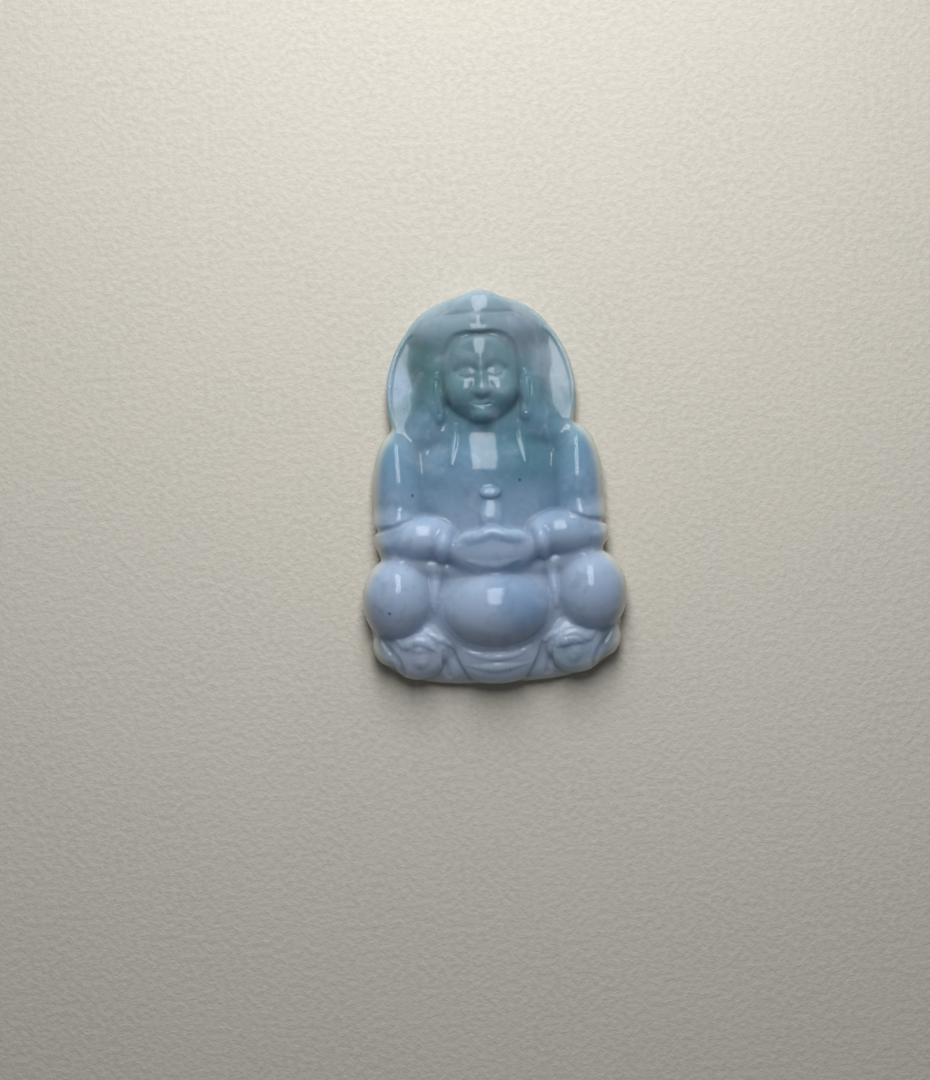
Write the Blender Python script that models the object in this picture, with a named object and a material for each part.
"""Jade figurine: a small flat-backed jade carving of a seated figure before a halo, on a lotus base.

The real carving is one stone. It is modelled here as that stone, and then divided along its carved
grooves into named regions, so that each region is a separate solid that can be picked, coloured or
swapped. The stone lies on its flat back: +Z is out of the carved front, +Y is towards the top of the
head, and the origin is the middle of the back. Left and right are the figure's own, so left is +X.
"""

import math

import bmesh
import bpy
from mathutils import Matrix, Vector

MM = 0.001

# Driving dimensions of the stone, in millimetres.
HEIGHT = 50.0
WIDTH = 33.5
THICKNESS = 8.8
HEAD_LEAN = -0.45  # the carver's halo and head sit a little off the middle line
REGION_GAP = 0.2  # between neighbouring regions

# Places and sizes that follow from them.
TOP = HEIGHT / 2
BASE = -HEIGHT / 2
HALF_WIDTH = WIDTH / 2
HALO_HALF_WIDTH = 0.717 * HALF_WIDTH
HALO_RISE = 0.258 * HEIGHT
HALO_Y = TOP - HALO_RISE - 0.4
HALO_THICKNESS = 0.37 * THICKNESS
TORSO_THICKNESS = 0.54 * THICKNESS
LEGS_THICKNESS = 0.5 * THICKNESS
SHOULDER_Y = 0.148 * HEIGHT
ARM_HALF_WIDTH = 0.865 * HALF_WIDTH
KNEE_RADIUS = 4.4
KNEE_X = HALF_WIDTH - KNEE_RADIUS
KNEE_Y = -0.265 * HEIGHT
LAP_Y = -0.304 * HEIGHT
HAND_Y = -0.163 * HEIGHT
FACE_Y = 0.27 * HEIGHT
EAR_X = 5.9
HALO_EDGE_RADIUS = 0.6
SLAB_EDGE_RADIUS = 1.1
BACK_Z = 0.001  # a hair in front of the slabs' own undersides, so the cut never meets them face to face

# How finely the forms are cut, and how far helper solids reach past the stone.
FORM_SEGMENTS = 28
FORM_RINGS = 14
OUTLINE_POINTS = 48
FAR = HEIGHT
CELL_LOW = -2.0
CELL_HIGH = THICKNESS + 3.0
CELL_MARGIN = 1.0
WELD_DISTANCE = 0.001
SHARPEST_MITRE = 0.4
SHARP_EDGE_DEGREES = 35

SIDES = (("left", 1), ("right", -1))
JADE_BLUE = (0.30, 0.40, 0.52)
JADE_TEAL = (0.20, 0.36, 0.42)
JADE_PALE = (0.42, 0.48, 0.60)


def clear_scene():
    for obj in list(bpy.data.objects):
        bpy.data.objects.remove(obj, do_unlink=True)


def new_collection(name):
    made = bpy.data.collections.new(name)
    bpy.context.scene.collection.children.link(made)
    return made


def jade(name, colour):
    """A polished stone surface of that colour."""
    material = bpy.data.materials.new(name)
    material.use_nodes = True
    shader = material.node_tree.nodes["Principled BSDF"]
    shader.inputs["Base Color"].default_value = (*colour, 1.0)
    shader.inputs["Roughness"].default_value = 0.12
    shader.inputs["Metallic"].default_value = 0.0
    material.diffuse_color = (*colour, 1.0)
    return material


def helper(obj, collection):
    """Marks a form or a cell that shapes the stone and isn't a part of it."""
    for owner in list(obj.users_collection):
        owner.objects.unlink(obj)
    collection.objects.link(obj)
    obj.hide_render = True
    obj.display_type = "WIRE"
    return obj


def ellipsoid(name, centre, radii, collection, turn=0.0):
    """A rounded form. Centre and radii are in millimetres, and turn is in degrees about Z."""
    bpy.ops.mesh.primitive_uv_sphere_add(segments=FORM_SEGMENTS, ring_count=FORM_RINGS, radius=1.0)
    obj = bpy.context.object
    obj.name = name
    obj.data.transform(Matrix.Diagonal((*(Vector(radii) * MM), 1.0)))
    obj.location = Vector(centre) * MM
    obj.rotation_euler = (0.0, 0.0, math.radians(turn))
    return helper(obj, collection)


def superellipse(centre, radii, power=2.0):
    """The closed outline |x/a|^p + |y/b|^p = 1 round a centre."""
    outline = []
    for i in range(OUTLINE_POINTS):
        angle = 2 * math.pi * i / OUTLINE_POINTS
        c, s = math.cos(angle), math.sin(angle)
        x = math.copysign(abs(c) ** (2 / power), c) * radii[0]
        y = math.copysign(abs(s) ** (2 / power), s) * radii[1]
        outline.append((centre[0] + x, centre[1] + y))
    return outline


def one_side(sign, points):
    """An outline given for the left side, which is +X, put on the side of that sign."""
    return [(sign * x, y) for x, y in points]


def grown(outline, by):
    """The outline moved outwards by that much, with mitred corners."""
    n = len(outline)
    points = [Vector(p) for p in outline]
    turning = sum(points[i].cross(points[(i + 1) % n]) for i in range(n))
    side = math.copysign(1.0, turning)
    moved = []
    for i, here in enumerate(points):
        before = (here - points[i - 1]).normalized()
        after = (points[(i + 1) % n] - here).normalized()
        normal = Vector((before.y + after.y, -before.x - after.x)).normalized() * side
        half_turn_cosine = math.sqrt(max(0.0, (1 + before.dot(after)) / 2))
        moved.append(tuple(here + normal * by / max(SHARPEST_MITRE, half_turn_cosine)))
    return moved


def weld(mesh):
    """Joins the caps of an extruded outline to its walls, and turns every face outwards."""
    shape = bmesh.new()
    shape.from_mesh(mesh)
    bmesh.ops.remove_doubles(shape, verts=shape.verts, dist=WELD_DISTANCE * MM)
    bmesh.ops.recalc_face_normals(shape, faces=shape.faces)
    shape.to_mesh(mesh)
    shape.free()


def frozen(source, name, collection):
    """The evaluated shape of an object, as a new mesh object in the same place."""
    bpy.context.view_layer.update()
    graph = bpy.context.evaluated_depsgraph_get()
    mesh = bpy.data.meshes.new_from_object(source.evaluated_get(graph))
    mesh.name = name
    made = bpy.data.objects.new(name, mesh)
    made.matrix_world = source.matrix_world.copy()
    collection.objects.link(made)
    return made


def replaced_by_frozen(source, name, collection):
    """The evaluated shape as a new helper, with the source and its modifiers removed."""
    made = frozen(source, name, collection)
    bpy.data.objects.remove(source, do_unlink=True)
    return helper(made, collection)


def prism(name, outline, low, high, collection, edge_radius=0.0):
    """A flat outline extruded from low to high in millimetres, with its two edges rounded."""
    curve = bpy.data.curves.new(name, "CURVE")
    curve.dimensions = "2D"
    curve.fill_mode = "BOTH"
    curve.extrude = ((high - low) / 2 - edge_radius) * MM
    curve.bevel_depth = edge_radius * MM
    curve.bevel_resolution = 2
    curve.offset = -edge_radius * MM
    spline = curve.splines.new("POLY")
    spline.points.add(len(outline) - 1)
    for point, (x, y) in zip(spline.points, outline, strict=True):
        point.co = (x * MM, y * MM, 0.0, 1.0)
    spline.use_cyclic_u = True
    flat = bpy.data.objects.new("outline", curve)
    bpy.context.scene.collection.objects.link(flat)
    flat.location.z = (high + low) / 2 * MM
    made = replaced_by_frozen(flat, name, collection)
    weld(made.data)
    return made


def boolean(obj, name, operation, other):
    """A Boolean modifier against one object or against a whole collection."""
    cut = obj.modifiers.new(name, "BOOLEAN")
    cut.operation = operation
    cut.solver = "EXACT"
    if isinstance(other, bpy.types.Collection):
        cut.operand_type = "COLLECTION"
        cut.collection = other
    else:
        cut.object = other


def shape_forms(forms):
    """Every rounded form that stands out of the stone's slabs."""
    lean = HEAD_LEAN
    ellipsoid("form_hair", (lean, 16.7, 2.4), (8.2, 7.2, 4.1), forms)
    ellipsoid("form_ushnisha", (0.0, 21.6, 1.9), (4.9, TOP - 21.6, 3.6), forms)
    ellipsoid("form_face", (lean, FACE_Y, 3.4), (4.9, 5.9, 4.0), forms)
    ellipsoid("form_nose", (lean, FACE_Y + 0.1, 6.6), (0.75, 2.3, 1.3), forms)
    ellipsoid("form_neck", (lean / 2, 7.0, 2.9), (4.1, 2.6, 2.6), forms)
    ellipsoid("form_chest", (0.0, 0.6, 1.2), (9.8, 8.6, 4.9), forms)
    ellipsoid("form_robe_knot", (0.0, -2.7, 4.6), (1.3, 2.4, 1.9), forms)
    ellipsoid("form_hands", (0.0, HAND_Y, 4.5), (5.1, 2.9, 3.6), forms)
    ellipsoid("form_lap", (0.0, LAP_Y, 3.1), (7.7, 5.3, THICKNESS - 3.1), forms)
    ellipsoid("form_center_petal", (0.0, BASE + 4.0, 3.0), (6.1, 4.0, 4.2), forms)
    for side, sign in SIDES:
        lobe = (sign * EAR_X + lean, 11.6, 2.7)
        ellipsoid(f"form_{side}_ear", lobe, (1.4, 3.9, 2.3), forms)
        ellipsoid(f"form_{side}_arm", (sign * 11.2, -1.0, 2.4), (3.3, 8.4, 3.6), forms, sign * 3)
        ellipsoid(f"form_{side}_forearm", (sign * 8.8, -6.5, 3.6), (5.9, 2.8, 3.5), forms, sign * 8)
        knee_radii = (KNEE_RADIUS, 4.9, 5.1)
        ellipsoid(f"form_{side}_knee", (sign * KNEE_X, KNEE_Y, 2.9), knee_radii, forms)
        inner_petal = (sign * 9.5, -20.4, 2.8)
        ellipsoid(f"form_{side}_inner_petal", inner_petal, (3.9, 3.9, 4.0), forms, sign * 12)
        outer_petal = (sign * 13.0, -18.9, 2.5)
        ellipsoid(f"form_{side}_outer_petal", outer_petal, (2.9, 3.6, 3.6), forms, sign * 20)


def shape_stone(forms, helpers):
    """The whole stone: slabs and forms joined into one solid, and cut flat at the back."""
    torso = superellipse((0.0, -3.0), (ARM_HALF_WIDTH, 11.0), power=4)
    legs = superellipse((0.0, -16.5), (0.96 * HALF_WIDTH, 7.7), power=3)
    halo = superellipse((HEAD_LEAN, HALO_Y), (HALO_HALF_WIDTH, HALO_RISE))
    prism("slab_torso", torso, 0.0, TORSO_THICKNESS, forms, SLAB_EDGE_RADIUS)
    prism("slab_legs", legs, 0.0, LEGS_THICKNESS, forms, SLAB_EDGE_RADIUS)
    stone = prism("slab_halo", halo, 0.0, HALO_THICKNESS, helpers, HALO_EDGE_RADIUS)
    boolean(stone, "Join the carved forms", "UNION", forms)
    square = [(-FAR, -FAR), (FAR, -FAR), (FAR, FAR), (-FAR, FAR)]
    front = prism("in_front_of_the_back", square, BACK_Z, CELL_HIGH, helpers)
    boolean(stone, "Cut the back flat", "INTERSECT", front)
    return replaced_by_frozen(stone, "stone", helpers)


def region_outlines():
    """(name, outline, colour) of each region, in the order in which they leave the stone.

    A region takes only what the earlier ones left inside its outline, so outlines may run over them.
    """
    lean = HEAD_LEAN
    face = superellipse((lean, FACE_Y), (4.85, 5.85), power=2.4)
    ear_strip = [(4.0, SHOULDER_Y), (8.4, SHOULDER_Y), (7.2, 10.4), (8.0, 15.4), (4.0, 15.4)]
    halo = [(0.0, SHOULDER_Y), (FAR, SHOULDER_Y), (FAR, FAR), (0.0, FAR)]
    torso_top = [(FAR, SHOULDER_Y), (0.0, SHOULDER_Y)]
    arm_groove = [(0.0, -4.5), (8.2, -2.9), (11.6, -4.5), (FAR, -5.0)]
    forearm_edge = [(0.0, -10.9), (5.0, -9.5), (9.0, -8.5), (FAR, -7.9)]
    base_edge = [(0.0, -20.0), (5.0, -19.5), (10.4, -18.0), (FAR, -17.1)]
    petal_edge = [(0.0, -FAR), (13.2, -FAR), (12.0, -15.0), (0.0, -15.0)]
    petals = [(0.0, -FAR), (FAR, -FAR), (FAR, -15.0), (0.0, -15.0)]

    yield "face", face, JADE_TEAL
    yield "ushnisha", superellipse((0.0, TOP + 0.4), (5.2, 3.8)), JADE_BLUE
    yield "hair", superellipse((lean, 16.9), (8.3, 6.6), power=2.2), JADE_TEAL
    for side, sign in SIDES:
        ear = [(x + lean, y) for x, y in one_side(sign, ear_strip)]
        yield f"{side}_ear", ear, JADE_TEAL
    yield "hands", superellipse((0.0, HAND_Y), (5.0, 2.75), power=2.3), JADE_PALE
    yield "robe_knot", superellipse((0.0, -2.75), (1.5, 2.4)), JADE_BLUE
    yield "lap", superellipse((0.0, LAP_Y), (7.2, 4.95)), JADE_BLUE
    yield "chest", superellipse((0.0, 2.2), (8.5, 7.6), power=3), JADE_BLUE
    yield "center_petal", [(-5.5, -FAR), (5.5, -FAR), (5.9, -15.0), (-5.9, -15.0)], JADE_PALE
    for side, sign in SIDES:
        yield f"{side}_halo", one_side(sign, halo), JADE_BLUE
        yield f"{side}_upper_arm", one_side(sign, arm_groove + torso_top), JADE_BLUE
        yield f"{side}_forearm", one_side(sign, forearm_edge + torso_top), JADE_PALE
        yield f"{side}_knee", one_side(sign, base_edge + torso_top), JADE_PALE
        yield f"{side}_inner_petal", one_side(sign, petal_edge), JADE_PALE
        yield f"{side}_outer_petal", one_side(sign, petals), JADE_PALE


def divide(stone, carving, helpers):
    """Cuts the stone into its named regions, each with a gap to its neighbours."""
    taken = new_collection("cells already taken")
    for name, outline, colour in region_outlines():
        cell = prism(f"outline_{name}", outline, CELL_LOW, CELL_HIGH, helpers)
        if taken.objects:
            boolean(cell, "Leave the earlier regions", "DIFFERENCE", taken)
            cell = replaced_by_frozen(cell, f"cell_{name}", helpers)
        boolean(stone, "Cell", "INTERSECT", cell)
        region = frozen(stone, name, carving)
        region.data.materials.clear()
        region.data.materials.append(jade(f"jade_{name}", colour))
        region.data.shade_smooth()
        region.data.set_sharp_from_angle(angle=math.radians(SHARP_EDGE_DEGREES))
        stone.modifiers.clear()
        around = grown(outline, REGION_GAP)
        prism(f"around_{name}", around, CELL_LOW - CELL_MARGIN, CELL_HIGH + CELL_MARGIN, taken)


def main():
    clear_scene()
    carving = new_collection("Jade figurine")
    forms = new_collection("Forms joined into the stone")
    helpers = new_collection("Cutters and cells")
    shape_forms(forms)
    stone = shape_stone(forms, helpers)
    divide(stone, carving, helpers)


main()
